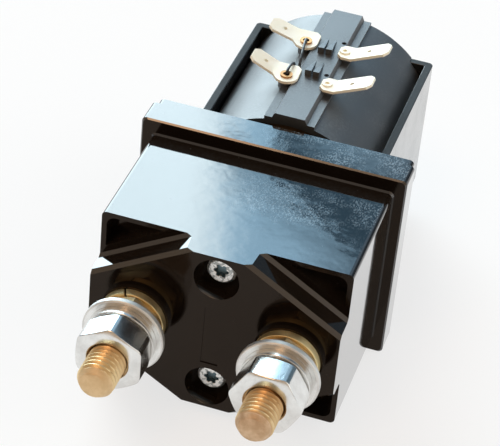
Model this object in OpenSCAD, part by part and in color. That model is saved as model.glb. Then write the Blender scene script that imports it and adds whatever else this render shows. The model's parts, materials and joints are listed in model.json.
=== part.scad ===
// Direct-current contactor with two power studs, lying on its back.
// The source measures y along the plunger axis from the front face of the cover, and x and z from that axis.

/* [Cover] */
// Width of the moulded contact cover
cover_w = 66.4; // [60:0.1:70]
// Height of the moulded contact cover
cover_d = 48.8; // [46:0.1:54]
// Distance from the front face to the flange
cover_len = 44.4; // [42:0.1:60]
// Wall of the cover around the contact chamber
cover_wall = 3; // [2:0.1:3.5]
// Radius of the long outer corners of the cover
cover_corner = 1.4; // [0.5:0.1:3]
// Half length of the top and bottom edges of the front face
face_top_half = 8.5; // [7:0.1:14]
// Half length of the two side edges of the front face
face_side_half = 9.8; // [7:0.1:14]
// Bevel around the raised front face
face_bevel = 1; // [0.4:0.1:1.6]
// How far the corner rims stand behind the front face
rim_back = 6.7; // [5.5:0.1:9]
// Flare at the foot of the raised front block
face_flare = 1; // [0.4:0.1:1.6]
// Width of the ledge between the front block and each corner pocket
pocket_ledge = 1.8; // [1:0.1:3]
// Wall around each corner pocket
pocket_wall = 1.4; // [1:0.1:2.4]
// Depth of each corner pocket behind its rim
pocket_depth = 5; // [3:0.1:6]
// Radius of the inner corner of each pocket
pocket_corner = 2.4; // [1:0.1:4]
// Thickness of the front wall behind the corner pockets
front_wall = 4.3; // [3:0.1:6]
// Width of the shallow bare strip between the cover screws
strip_w = 4.6; // [3:0.1:6]
// Length of the shallow bare strip
strip_len = 18; // [12:0.5:20]
// Depth of the shallow bare strip
strip_depth = 0.3; // [0.2:0.05:0.6]

/* [Flange] */
// Width of the cover flange
flange_w = 73; // [72:0.1:80]
// Height of the cover flange
flange_d = 57.5; // [56:0.1:64]
// Thickness of the cover flange
flange_t = 8; // [5:0.1:10]
// Bevel around the front edge of the flange
flange_bevel = 0.4; // [0.3:0.1:1.5]
// Size of the cove between the cover and its flange
flange_cove = 0.6; // [0.4:0.1:1.6]

/* [Base plate] */
// Thickness of the base plate behind the flange
base_t = 4.2; // [3:0.1:6]
// How far the base plate is inset from the flange at each side
base_inset_x = 0.95; // [0.3:0.05:2]
// How far the base plate is inset from the flange above and below
base_inset_z = 1.25; // [0.3:0.05:2]
// Length of the spigot that enters the cover
spigot_len = 2.6; // [1.5:0.1:4]
// Thickness of the upright ring of the spigot
spigot_wall = 3; // [2:0.1:4]
// Outer radius of the rod boss on the base plate
boss_r = 7; // [5:0.1:8]
// Length of the rod boss in front of the spigot
boss_len = 3.5; // [2:0.1:4]

/* [Power studs] */
// Distance between the stud centres
stud_pitch = 41; // [39:0.1:44]
// Crest diameter of the stud thread
stud_d = 10; // [8:0.1:10]
// Radius of the stud where nuts, washers and cover hide it
stud_shank_r = 4.75; // [3.6:0.05:4.8]
// Length of free thread in front of the outer nut
stud_free = 9.8; // [8:0.1:14]
// Height of the round seat around each stud
stud_seat = 1.4; // [0.6:0.1:2]
// Radius of that seat
stud_seat_r = 9.3; // [8.8:0.1:10]
// Thickness of the split lock washer against the seat
split_washer_t = 2.4; // [1.5:0.1:3]
// Outer radius of the split lock washer
split_washer_r = 8.8; // [8:0.1:10]
// Thickness of the thin clamping nut
half_nut_t = 4.1; // [3:0.1:6]
// Width across the flats of the thin nut
half_nut_flats = 16; // [15:0.1:17]
// Width across the flats of the outer nut
nut_flats = 17; // [15:0.1:17]
// Thickness of the plain washer
plain_washer_t = 1.9; // [1:0.1:3]
// Outer radius of the plain washer
plain_washer_r = 10.9; // [9.4:0.1:12]
// Thickness of the spring washer
spring_washer_t = 2.4; // [1.5:0.1:3]
// Outer radius of the spring washer
spring_washer_r = 9.2; // [8:0.1:10]
// Thickness of the outer nut
stud_nut_t = 8.4; // [6:0.1:9]
// Radius of the stud head inside the chamber
stud_head_r = 8.5; // [7:0.1:9]
// Thickness of the stud head
stud_head_t = 3.5; // [2.5:0.1:5]
// Width between the two flats of the stud head
stud_head_flats = 14; // [12:0.1:15]

/* [Cover screws] */
// Distance of each cover screw from the top or bottom of the cover
screw_edge = 6.9; // [6.4:0.1:8]
// Radius of the recess around each screw head
screw_recess_r = 6; // [5:0.1:6.2]
// Depth of that recess
screw_recess_depth = 6.4; // [5:0.1:8]
// Thread radius of the cover screws
screw_r = 2; // [1.5:0.1:2.4]
// Radius of the screw heads
screw_head_r = 3.9; // [3.2:0.1:4.4]
// Height of the screw heads
screw_head_t = 2.6; // [2:0.1:3.4]
// Depth of the six-lobe drive in the screw heads
drive_depth = 1.6; // [1:0.1:1.8]
// Radius of the pillars around the cover screws
pillar_r = 4.2; // [3.6:0.1:4.6]
// Outer radius of the threaded inserts
insert_r = 3.2; // [2.8:0.1:3.6]
// Length of the threaded inserts
insert_len = 6; // [4:0.1:6.4]

/* [Magnet frame] */
// Outer width of the magnet yoke
yoke_w = 53.3; // [50:0.1:58]
// Height of the yoke strip
yoke_d = 39.6; // [36:0.1:42]
// Thickness of the yoke strip
yoke_t = 2.2; // [2:0.1:3]
// Overall length of the yoke behind the base plate
yoke_len = 61; // [56:0.1:80]
// Outer bend radius of the yoke
yoke_bend = 1.4; // [0.8:0.1:2]
// Thickness of the pole plate
pole_t = 3; // [2:0.1:4]
// Height of the tabs that lock the pole plate into the yoke
tab_d = 14; // [8:0.1:20]
// Distance between the two mounting threads in the yoke
mount_pitch = 36; // [30:0.1:40]
// Radius of the mounting threads
mount_r = 2.1; // [1.6:0.1:2.6]
// Height of the frame screws above and below the plunger axis
frame_screw_x = 16; // [13:0.1:18]
// Thread radius of the frame screws
frame_screw_r = 1.75; // [1.4:0.05:2]
// Head radius of the frame screws
frame_screw_head_r = 3.6; // [3:0.1:4]

/* [Coil] */
// Radius of the round coil moulding
coil_r = 28.4; // [27:0.1:28.6]
// Wall between the winding and the flat sides of the moulding
coil_wall = 1.5; // [1.2:0.1:3]
// Gap between the flat sides of the moulding and the yoke
coil_gap = 0.35; // [0.2:0.05:0.8]
// How far the round lobes reach forward past the winding end washer
lobe_front = 0.8; // [0.2:0.1:1.2]
// Half width of the lower flat on top of the coil
band_foot_half = 7; // [6:0.1:10]
// Height of the lower flat above the plunger axis
band_foot_z = 28.5; // [28.4:0.1:29]
// Half width of the raised band on top of the coil
band_half = 4.2; // [3:0.1:6]
// Height of the raised band above the plunger axis
band_z = 30; // [29.4:0.1:31]
// Thickness of the end cheeks of the bobbin
cheek_t = 1.8; // [1:0.1:3]
// Wall of the bobbin tube
bobbin_wall = 1.2; // [0.8:0.1:2]
// Thickness of the washer at the open end of the coil
end_washer_t = 1; // [0.5:0.1:1.5]

/* [Coil terminals] */
// Width of the flat terminals
blade_w = 6.3; // [4.8:0.1:6.4]
// Thickness of the flat terminals
blade_t = 0.8; // [0.5:0.1:1]
// Length of the raised blade of the right terminals
blade_len = 11.2; // [8:0.1:14]
// Length of the raised blade of the left terminals
left_blade_len = 7.8; // [7:0.1:12]
// Angle of the raised blades
blade_angle = 24; // [10:1:45]
// Angle of the raised blade of the far left terminal, which is bent up less
far_left_angle = 16; // [10:1:45]
// Distance of the near left terminal's eyelet behind the coil's front end
terminal_y_near = 17.1; // [12:0.1:20]
// Distance between the near and far left terminals
terminal_pitch = 19; // [15:0.1:24]
// Distance between the near and far right terminals
right_pitch = 18; // [14:0.1:24]
// Distance from the axis plane to the bend of the right terminals
bend_x = 7.6; // [6:0.1:10]
// Distance from the axis plane to the bend of the left terminals
left_bend_x = 10.3; // [9:0.1:12]
// How far the left blades lie behind their eyelets
left_blade_offset = 2.7; // [0:0.1:3]
// Radius of the eye of the left terminals
eye_r = 3.3; // [2.6:0.1:3.6]
// Distance from the axis plane to the inner ends of the terminals
blade_start_x = 3.4; // [2.5:0.1:4]
// Outer radius of the eyelets and rivets
eyelet_r = 1.7; // [1.4:0.1:2]
// Radius of the coil leads
lead_r = 0.4; // [0.3:0.05:0.6]
// Height of the moulded lead barbs
barb_h = 1.8; // [1:0.1:2.5]
// Width of the barbs at their upright near faces
barb_w = 1.8; // [1:0.1:2.2]
// Length of the barbs
barb_len = 8; // [5:0.1:10]
// Distance of the near pair of barbs behind the coil's front end
barb_y_near = 20.5; // [18:0.1:24]
// Distance between the two pairs of barbs
barb_pitch = 12.7; // [9:0.1:14]

/* [Plunger] */
// Radius of the plunger
plunger_r = 9; // [8:0.1:9.4]
// Wall of the guide tube
tube_wall = 0.8; // [0.5:0.1:1]
// Travel of the plunger
travel = 4.2; // [3:0.1:5]
// Length of the fixed pole core inside the coil
core_len = 14.4; // [10:0.1:18]
// Gap left between plunger and core at full travel
core_gap = 0.3; // [0.2:0.05:0.8]
// Thickness of the rubber end buffer
buffer_t = 1.5; // [1:0.1:3]
// Radius of the push rod
rod_r = 2.5; // [2:0.1:3]
// Depth of the spring pocket in the plunger
spring_pocket = 12; // [8:0.1:16]
// Wire diameter of the return spring
return_wire = 0.9; // [0.6:0.05:1.1]
// Number of turns of the return spring
return_turns = 8; // [6:1:9]

/* [Moving contact] */
// Gap between the open contacts
contact_gap = 3.2; // [2.5:0.1:4]
// Gap left in the model when the contacts close
closed_gap = 0.05; // [0.02:0.01:0.1]
// Thickness of the contact bridge
bridge_t = 3; // [2:0.1:4]
// Height of the contact bridge
bridge_d = 14; // [11:0.1:15]
// Thickness of the fixed contact tips
fixed_tip_t = 2; // [1:0.1:2.5]
// Thickness of the moving contact tips
moving_tip_t = 1.5; // [1:0.1:2.5]
// Radius of the contact tips
tip_r = 5.2; // [4:0.1:6]
// Wall of the insulating bush in the bridge
bush_wall = 1.4; // [1:0.1:2]
// Length of the contact spring
contact_spring_len = 9.8; // [8:0.1:11]
// Wire diameter of the contact spring
contact_wire = 1.3; // [0.8:0.05:1.4]
// Number of turns of the contact spring
contact_turns = 5; // [4:1:6]
// Thickness of the clips on the push rod
clip_t = 0.8; // [0.6:0.1:1.2]

/* [Hidden] */
$fn = 64;

// Clearances between pieces
fit = 0.1;          // loose seat between two fixed pieces
running = 0.08;     // radial running clearance
slack = 0.3;        // gap between fixed pieces that don't bear on each other
through = 1;        // how far a cutting tool passes a face

// Height of the cover screws above and below the plunger axis
screw_z = cover_d / 2 - screw_edge;

// Places along the plunger axis
flange_y = cover_len;
base_y = flange_y + flange_t;
magnet_y = base_y + base_t;
pole_rear_y = magnet_y + pole_t;
yoke_end_y = magnet_y + yoke_len;
yoke_inner_y = yoke_end_y - yoke_t;
pocket_floor_y = rim_back + pocket_depth;
chamber_y = pocket_floor_y + front_wall;
spigot_y = base_y - spigot_len;
boss_y = spigot_y - boss_len;

// Places of the contact parts
head_rear_y = chamber_y + stud_head_t;
fixed_tip_y = head_rear_y + fixed_tip_t;
moving_tip_y = fixed_tip_y + contact_gap;
bridge_y = moving_tip_y + moving_tip_t;
bridge_rear_y = bridge_y + bridge_t;
bush_flange_t = 1;
bush_y = bridge_y - bush_flange_t;
washer_rear_y = bridge_rear_y + bush_flange_t;
seat_y = washer_rear_y + contact_spring_len;
seat_t = 1.2;
rear_clip_y = seat_y + seat_t;
front_clip_y = bush_y - clip_t;
rod_tip_y = front_clip_y - clip_t;
tip_shank_r = 0.42 * tip_r;

// Clips on the push rod
clip_r = rod_r + 2;
clip_groove_r = rod_r - 0.4;
clip_mouth = 2.4;

// Mean radii of the springs, and the room around them
return_r = rod_r + return_wire / 2 + 1;
contact_r = rod_r + contact_wire / 2 + 1.4;
spring_room = 1;

// Places of the coil and the plunger
coil_front_y = pole_rear_y + slack;
winding_front_y = coil_front_y + end_washer_t;
coil_rear_y = yoke_inner_y - 0.2;
lobe_front_y = coil_front_y - lobe_front;
lobe_rear_y = yoke_end_y - 0.2;
lobe_cut_half = yoke_d / 2 + slack;
coil_flat_x = yoke_w / 2 - yoke_t - coil_gap;
winding_r = coil_flat_x - coil_wall;
tube_inner_r = plunger_r + running;
tube_r = tube_inner_r + tube_wall;
bobbin_bore_r = tube_r + fit;
bobbin_r = bobbin_bore_r + bobbin_wall;
core_rear_y = pole_rear_y + core_len;
core_neck_r = plunger_r * 2 / 3;
plunger_y = core_rear_y + core_gap + travel;
tube_end_y = yoke_end_y - slack;
buffer_rear_y = tube_end_y - tube_wall;
plunger_rear_y = buffer_rear_y - buffer_t;
rod_grip = 10;
rod_end_y = plunger_y + spring_pocket + rod_grip;

// Places of the stud stack, from the cover forwards
split_washer_y = -stud_seat - split_washer_t;
half_nut_y = split_washer_y - half_nut_t;
plain_washer_y = half_nut_y - plain_washer_t;
spring_washer_y = plain_washer_y - spring_washer_t;
stud_nut_y = spring_washer_y - stud_nut_t;
stud_tip_y = stud_nut_y - stud_free;
stud_hole_r = stud_d / 2 + fit;
washer_hole_r = stud_d / 2 + 0.25;
stud_chamfer = 1.6;
nut_sink = 0.8;

// Ribs that hold the flats of the stud heads
head_rib_w = 12;
head_rib_t = 1.5;
head_rib_h = 2.5;

// Places of the coil terminals
near_y = coil_front_y + terminal_y_near;
far_y = near_y + terminal_pitch;
right_near_y = near_y + (terminal_pitch - right_pitch) / 2;
right_far_y = right_near_y + right_pitch;
left_eyelet_x = 6.5;
right_rivet_x = 5;
blade_clip = 1.3;
boss_wall = 0.8;
lead_exit_x = 5.6;
lead_exit_y = near_y + left_blade_offset + blade_w / 2 + 1.55;
lead_exit_gap = 0.7;
sink_hole_x = 3.4;
sink_hole_y = 5.3;
sink_hole_r = 0.7;
eyelet_floor_z = band_z + blade_t - 1.4;
eyelet_shank_r = eyelet_r - 0.5;
eyelet_foot_z = band_z - 3;

// Where the part lies: flange edge and coil on the surface, and the middle of its length at the origin
lay_y = -(stud_tip_y + yoke_end_y) / 2;
lay_z = flange_d / 2;

// Angle and middle of the slanted edges of the front face
slant_run = cover_w / 2 - face_top_half;
slant_rise = cover_d / 2 - face_side_half;
slant_angle = atan2(slant_rise, slant_run);

module lay() translate([0, lay_y, lay_z]) children();

// Extrudes an outline drawn in x and z from y0 backwards
module slab(y0, h) translate([0, y0 + h, 0]) rotate([90, 0, 0]) linear_extrude(height = h) children();

module rod(y0, h, r) translate([0, y0 + h, 0]) rotate([90, 0, 0]) cylinder(h = h, r = r);

module taper(y0, h, r_front, r_rear)
    translate([0, y0 + h, 0]) rotate([90, 0, 0]) cylinder(h = h, r1 = r_rear, r2 = r_front);

module ring(y0, h, r, bore) difference() {
    rod(y0, h, r);
    rod(y0 - through, h + 2 * through, bore);
}

module rounded_2d(w, d, r) {
    square([w - 2 * r, d], center = true);
    square([w, d - 2 * r], center = true);
    for (i = [-1, 1]) for (j = [-1, 1]) translate([i * (w / 2 - r), j * (d / 2 - r)]) circle(r = r);
}

module at_stud(side) translate([side * stud_pitch / 2, 0, 0]) children();

module at_screw(side) translate([0, 0, side * screw_z]) children();

// Outline of the raised front block, with its slanted edges moved out by grow
module face_2d(grow) {
    up = grow / cos(slant_angle);
    over = grow / sin(slant_angle);
    t = face_top_half + over;
    s = face_side_half + up;
    w = cover_w / 2;
    d = cover_d / 2;
    polygon([[t, d], [w, s], [w, -s], [t, -d], [-t, -d], [-w, -s], [-w, s], [-t, d]]);
}

module face_block() {
    thin = 0.01;
    hull() {
        slab(0, thin) face_2d(-face_bevel);
        slab(face_bevel, thin) face_2d(0);
        slab(rim_back - face_flare, thin) face_2d(0.2);
    }
    hull() {
        slab(rim_back - face_flare, thin) face_2d(0.2);
        slab(rim_back, thin) face_2d(face_flare);
    }
}

// One corner pocket: the rim outline without its wall, cut back to the ledge beside the front block
module pocket_2d() intersection() {
    rounded_2d(cover_w - 2 * pocket_wall, cover_d - 2 * pocket_wall, pocket_corner);
    translate([face_top_half, cover_d / 2]) rotate(-slant_angle)
        translate([-cover_w, face_flare + pocket_ledge]) square([2 * cover_w, cover_d]);
}

module corner_pockets() for (i = [0, 1]) for (j = [0, 1]) mirror([i, 0, 0]) mirror([0, 0, j])
    slab(rim_back - through, pocket_depth + through) pocket_2d();

module flange_block() {
    thin = 0.01;
    hull() {
        slab(flange_y, thin) rounded_2d(flange_w - 2 * flange_bevel, flange_d - 2 * flange_bevel, cover_corner);
        slab(flange_y + flange_bevel, thin) rounded_2d(flange_w, flange_d, cover_corner);
    }
    slab(flange_y + flange_bevel, flange_t - flange_bevel) rounded_2d(flange_w, flange_d, cover_corner);
    hull() {
        slab(flange_y - flange_cove, thin) rounded_2d(cover_w, cover_d, cover_corner);
        slab(flange_y, thin)
            rounded_2d(cover_w + 1.2 * flange_cove, cover_d + 1.2 * flange_cove, cover_corner);
    }
}

module chamber() difference() {
    slab(chamber_y, base_y - chamber_y + through)
        rounded_2d(cover_w - 2 * cover_wall, cover_d - 2 * cover_wall, cover_corner);
    for (s = [-1, 1]) at_screw(s) {
        rod(chamber_y - through, spigot_y - chamber_y - fit + through, pillar_r);
        slab(chamber_y - through, spigot_y - chamber_y - fit + through)
            translate([-1.5, s > 0 ? 0 : -pillar_r]) square([3, pillar_r]);
    }
    for (s = [-1, 1]) at_stud(s) for (k = [-1, 1])
        slab(chamber_y - through, head_rib_h + through)
            translate([0, k * (stud_head_flats / 2 + fit + head_rib_t / 2)])
                square([head_rib_w, head_rib_t], center = true);
}

module contact_cover() color([0.09, 0.09, 0.1]) difference() {
    union() {
        difference() {
            slab(rim_back, flange_y - rim_back + flange_bevel) rounded_2d(cover_w, cover_d, cover_corner);
            corner_pockets();
        }
        face_block();
        flange_block();
        for (s = [-1, 1]) at_stud(s) rod(-stud_seat, stud_seat + face_bevel, stud_seat_r);
    }
    chamber();
    for (s = [-1, 1]) {
        at_stud(s) rod(-stud_seat - through, stud_seat + chamber_y + 2 * through, stud_hole_r);
        at_screw(s) {
            rod(-through, screw_recess_depth + through, screw_recess_r);
            rod(0, spigot_y + through, screw_r + fit);
        }
    }
    slab(-through, through + strip_depth)
        translate([0, -1]) square([strip_w, strip_len], center = true);
}

module base_plate() color([0.1, 0.1, 0.11]) difference() {
    union() {
        slab(base_y, base_t)
            rounded_2d(flange_w - 2 * base_inset_x, flange_d - 2 * base_inset_z, cover_corner);
        slab(spigot_y, spigot_len) rounded_2d(
            cover_w - 2 * (cover_wall + fit), cover_d - 2 * (cover_wall + fit), cover_corner);
        rod(boss_y, boss_len + through, boss_r);
    }
    // The spigot is a ring with flat pads for the inserts and the boss
    slab(spigot_y - through, spigot_len + through) difference() {
        square([cover_w - 2 * (cover_wall + spigot_wall), cover_d - 2 * (cover_wall + spigot_wall)], center = true);
        circle(r = boss_r + 2);
        for (s = [-1, 1]) translate([0, s * screw_z]) circle(r = pillar_r + 1);
    }
    rod(boss_y - through, boss_len + spigot_len + base_t + 2 * through, rod_r + 0.7);
    for (s = [-1, 1]) {
        at_screw(s) {
            rod(spigot_y - through, insert_len + through, insert_r);
        }
        translate([s * frame_screw_x, 0, 0]) {
            rod(base_y - through, base_t + 2 * through, frame_screw_r + fit);
            taper(base_y, frame_screw_head_r - frame_screw_r, frame_screw_head_r + fit, frame_screw_r + fit);
        }
    }
}

module screw_insert(side) color([0.8, 0.66, 0.36]) at_screw(side)
    ring(spigot_y, insert_len, insert_r, screw_r);

module frame_screw(side) color([0.72, 0.73, 0.74]) translate([side * frame_screw_x, 0, 0]) difference() {
    union() {
        taper(base_y, frame_screw_head_r - frame_screw_r, frame_screw_head_r, frame_screw_r);
        rod(base_y, base_t + pole_t, frame_screw_r);
    }
    drive_recess(base_y, 1, 0.6);
}

// Six-lobe drive, scaled by size
module drive_recess(y0, size, depth) slab(y0 - through, depth + through) {
    circle(r = 1.45 * size);
    for (a = [0 : 60 : 300]) rotate(a) translate([1.5 * size, 0]) circle(r = 0.5 * size);
}

module pole_plate() color([0.72, 0.62, 0.36]) difference() {
    slab(magnet_y, pole_t) {
        square([yoke_w - 2 * yoke_t, yoke_d], center = true);
        square([yoke_w, tab_d], center = true);
    }
    rod(magnet_y - through, pole_t + 2 * through, core_neck_r);
    for (s = [-1, 1]) translate([s * frame_screw_x, 0, 0])
        rod(magnet_y - through, pole_t + 2 * through, frame_screw_r);
}

module pole_core() color([0.6, 0.6, 0.6]) difference() {
    union() {
        rod(magnet_y, pole_t, core_neck_r);
        rod(pole_rear_y, core_len, plunger_r);
    }
    rod(magnet_y - through, pole_t + core_len + 2 * through, rod_r + running);
}

module yoke_2d(r_out, t) difference() {
    union() {
        translate([-yoke_w / 2, 0]) square([yoke_w, yoke_len - r_out]);
        translate([-yoke_w / 2 + r_out, 0]) square([yoke_w - 2 * r_out, yoke_len]);
        for (s = [-1, 1]) translate([s * (yoke_w / 2 - r_out), yoke_len - r_out]) circle(r = r_out);
    }
    translate([-yoke_w / 2 + t, -through]) square([yoke_w - 2 * t, yoke_len - t + through]);
}

module magnet_yoke() color([0.08, 0.08, 0.09]) difference() {
    translate([0, magnet_y, -yoke_d / 2]) linear_extrude(height = yoke_d) yoke_2d(yoke_bend, yoke_t);
    // Notches for the tabs of the pole plate
    slab(magnet_y - through, pole_t + through) square([yoke_w + 2 * through, tab_d], center = true);
    rod(yoke_inner_y - through, yoke_t + 2 * through, tube_r + fit);
    for (s = [-1, 1]) translate([s * mount_pitch / 2, 0, 0])
        rod(yoke_inner_y - through, yoke_t + 2 * through, mount_r);
}

module coil_bobbin() color([0.2, 0.2, 0.2]) difference() {
    union() {
        rod(winding_front_y, coil_rear_y - winding_front_y, bobbin_r);
        rod(winding_front_y, cheek_t, winding_r);
        rod(coil_rear_y - cheek_t, cheek_t, winding_r);
    }
    rod(winding_front_y - through, coil_rear_y - winding_front_y + 2 * through, bobbin_bore_r);
}

module coil_winding() color([0.72, 0.4, 0.2])
    ring(winding_front_y + cheek_t, coil_rear_y - winding_front_y - 2 * cheek_t, winding_r - 0.4, bobbin_r);

// The moulding's outline with flat sides, drawn in by inset
module coil_2d(inset) intersection() {
    circle(r = coil_r - inset, $fn = 96);
    square([2 * (coil_flat_x - inset), 2 * coil_r], center = true);
}

// Raised band with sloping sides on its wider foot, along the top of the coil
module band_2d() polygon([
    [-band_foot_half, 0], [-band_foot_half, band_foot_z], [-band_half - 0.7, band_foot_z], [-band_half, band_z],
    [band_half, band_z], [band_half + 0.7, band_foot_z], [band_foot_half, band_foot_z], [band_foot_half, 0]
]);

// Round boss that carries a terminal at its eyelet or rivet
module terminal_boss(x, y) translate([x, y, eyelet_foot_z - through])
    cylinder(h = band_z - eyelet_foot_z + through, r = eyelet_shank_r + boss_wall);

// A wedge that falls and narrows from its upright near face towards the far end
module barb(x, y) hull() {
    tip = 0.2;
    sunk = 0.5;
    translate([x - barb_w / 2, y, band_z - sunk]) cube([barb_w, tip, barb_h + sunk]);
    translate([x - tip, y + barb_len - tip, band_z - sunk]) cube([2 * tip, tip, sunk + tip / 2]);
}

module coil_moulding() color([0.13, 0.14, 0.15]) difference() {
    union() {
        slab(lobe_front_y, lobe_rear_y - lobe_front_y) {
            coil_2d(0);
            band_2d();
        }
        for (y = [near_y, far_y]) terminal_boss(-left_eyelet_x, y);
        for (y = [right_near_y, right_far_y]) terminal_boss(right_rivet_x, y);
        for (i = [0, 1]) for (x = [-0.75 * barb_w, 0.5 * barb_w])
            barb(x, coil_front_y + barb_y_near + i * barb_pitch);
    }
    // Room for the pole plate, the end plate and the winding
    slab(lobe_front_y - through, coil_front_y - lobe_front_y + through)
        square([2 * coil_r, 2 * lobe_cut_half], center = true);
    slab(coil_rear_y, lobe_rear_y - coil_rear_y + through) square([2 * coil_r, 2 * lobe_cut_half], center = true);
    slab(lobe_front_y - through, winding_front_y - lobe_front_y + through) coil_2d(coil_wall);
    rod(lobe_front_y, coil_rear_y - lobe_front_y, winding_r + fit);
    // Holes for eyelets, rivets and leads, and a sink hole behind each right terminal
    for (y = [near_y, far_y]) translate([-left_eyelet_x, y, 0]) cylinder(h = 2 * coil_r, r = eyelet_shank_r);
    for (y = [right_near_y, right_far_y]) {
        translate([right_rivet_x, y, 0]) cylinder(h = 2 * coil_r, r = eyelet_shank_r);
        translate([sink_hole_x, y + sink_hole_y, band_z - 1.2]) cylinder(h = coil_r, r = sink_hole_r);
    }
    for (s = [-1, 1]) translate([s * lead_exit_gap - lead_exit_x, lead_exit_y, 0])
        cylinder(h = 2 * coil_r, r = lead_r + fit);
}

module coil_end_washer() color([0.33, 0.24, 0.16]) difference() {
    slab(coil_front_y, end_washer_t) coil_2d(coil_wall + fit);
    rod(coil_front_y - through, end_washer_t + 2 * through, bobbin_bore_r);
}

module guide_tube() color([0.78, 0.66, 0.4]) difference() {
    rod(coil_front_y, tube_end_y - coil_front_y, tube_r);
    rod(coil_front_y - through, buffer_rear_y - coil_front_y + through, tube_inner_r);
}

module end_buffer() color([0.05, 0.05, 0.05]) rod(plunger_rear_y, buffer_t, plunger_r - 0.5);

module plunger() color([0.62, 0.62, 0.62]) difference() {
    union() {
        rod(plunger_y + 0.5, plunger_rear_y - plunger_y - 1, plunger_r);
        taper(plunger_y, 0.5, plunger_r - 0.5, plunger_r);
        taper(plunger_rear_y - 0.5, 0.5, plunger_r, plunger_r - 0.5);
    }
    rod(plunger_y - through, spring_pocket + through, return_r + return_wire / 2 + spring_room);
    rod(plunger_y, rod_end_y - plunger_y, rod_r);
}

module push_rod() color([0.75, 0.75, 0.76]) {
    taper(rod_tip_y, 0.5, rod_r - 0.5, rod_r);
    difference() {
        rod(rod_tip_y + 0.5, rod_end_y - rod_tip_y - 0.5, rod_r);
        for (y = [front_clip_y, rear_clip_y]) ring(y, clip_t, rod_r + through, clip_groove_r);
    }
}

// Rings of points along a helix whose end turns lie closed
function spring_lift(turn, turns, wire, len) =
    let (dead = 1, pitch = wire * 1.06, open = (len - wire - 2 * dead * pitch) / (turns - 2 * dead))
    turn < dead ? turn * pitch
    : turn > turns - dead ? len - wire - (turns - turn) * pitch
    : dead * pitch + (turn - dead) * open;

module spring(y0, len, mean_r, wire, turns) {
    steps = 16;
    sides = 8;
    rings = turns * steps;
    points = [
        for (i = [0 : rings]) for (j = [0 : sides - 1])
        let (
            a = 360 * i / steps,
            b = 360 * j / sides,
            r = mean_r + wire / 2 * cos(b),
            y = y0 + wire / 2 + spring_lift(i / steps, turns, wire, len) + wire / 2 * sin(b)
        ) [r * cos(a), y, r * sin(a)]
    ];
    faces = concat(
        [[for (j = [0 : sides - 1]) j]],
        [for (i = [0 : rings - 1]) for (j = [0 : sides - 1])
            let (k = (j + 1) % sides) [i * sides + j, (i + 1) * sides + j, (i + 1) * sides + k, i * sides + k]],
        [[for (j = [sides - 1 : -1 : 0]) rings * sides + j]]
    );
    polyhedron(points = points, faces = faces, convexity = 10);
}

module return_spring() color([0.78, 0.78, 0.8]) spring(
    core_rear_y, plunger_y + spring_pocket - core_rear_y, return_r, return_wire, return_turns);

module contact_spring() color([0.78, 0.78, 0.8]) spring(
    washer_rear_y, contact_spring_len, contact_r, contact_wire, contact_turns);

// Open clip that snaps into a groove of the push rod
module rod_clip(y) color([0.3, 0.3, 0.32]) difference() {
    ring(y, clip_t, clip_r, clip_groove_r);
    slab(y - through, clip_t + 2 * through) translate([-clip_mouth / 2, 0]) square([clip_mouth, clip_r + through]);
}

module spring_seat() color([0.75, 0.75, 0.76])
    ring(seat_y, seat_t, contact_r + contact_wire / 2 + spring_room, rod_r + running);

module bridge_washer() color([0.5, 0.36, 0.2])
    ring(bridge_rear_y, bush_flange_t, rod_r + bush_wall + 2.4, rod_r + running);

module bridge_bush() color([0.5, 0.36, 0.2]) difference() {
    union() {
        rod(bush_y, bush_flange_t, rod_r + bush_wall + 2);
        rod(bridge_y, bridge_t, rod_r + bush_wall);
    }
    rod(bush_y - through, bush_flange_t + bridge_t + 2 * through, rod_r + running);
}

module contact_bridge() color([0.78, 0.5, 0.32]) difference() {
    slab(bridge_y, bridge_t) {
        square([stud_pitch, bridge_d], center = true);
        for (s = [-1, 1]) translate([s * stud_pitch / 2, 0]) circle(d = bridge_d);
    }
    rod(bridge_y - through, bridge_t + 2 * through, rod_r + bush_wall + 0.05);
    for (s = [-1, 1]) at_stud(s) rod(bridge_y - through, bridge_t + 2 * through, tip_shank_r);
}

// Domed silver tip with a rivet shank through the bridge
module moving_tip(side) color([0.84, 0.84, 0.82]) at_stud(side) {
    rod(moving_tip_y + 0.4, moving_tip_t - 0.4, tip_r);
    taper(moving_tip_y, 0.4, tip_r - 0.8, tip_r);
    rod(bridge_y, bridge_t, tip_shank_r);
}

module stud(side) color([0.79, 0.6, 0.34]) at_stud(side) {
    taper(stud_tip_y, stud_chamfer, stud_d / 2 - stud_chamfer, stud_d / 2);
    rod(stud_tip_y + stud_chamfer, stud_free - stud_chamfer - slack, stud_d / 2);
    rod(stud_nut_y - slack, chamber_y - stud_nut_y + slack, stud_shank_r);
    slab(chamber_y, stud_head_t) intersection() {
        circle(r = stud_head_r);
        square([2 * stud_head_r, stud_head_flats], center = true);
    }
}

module fixed_tip(side) color([0.84, 0.84, 0.82]) at_stud(side) {
    rod(head_rear_y, fixed_tip_t - 0.4, tip_r);
    taper(fixed_tip_y - 0.4, 0.4, tip_r, tip_r - 0.8);
}

// Spring washer cut by a slanted slit at the given angle
module slit_ring(y, t, r, bore, angle) difference() {
    ring(y, t, r, bore);
    rotate([0, -angle, 0]) translate([0, y + t / 2, (r + bore) / 2]) rotate([0, 0, 20])
        cube([0.5, 3 * t, r], center = true);
}

module split_washer(side) color([0.78, 0.62, 0.38]) at_stud(side)
    slit_ring(split_washer_y, split_washer_t, split_washer_r, washer_hole_r, side < 0 ? 15 : 90);

module plain_washer(side) color([0.8, 0.81, 0.82]) at_stud(side)
    ring(plain_washer_y, plain_washer_t, plain_washer_r, washer_hole_r);

module spring_washer(side) color([0.8, 0.81, 0.82]) at_stud(side)
    slit_ring(spring_washer_y, spring_washer_t, spring_washer_r, washer_hole_r, side < 0 ? 150 : 210);

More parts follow.
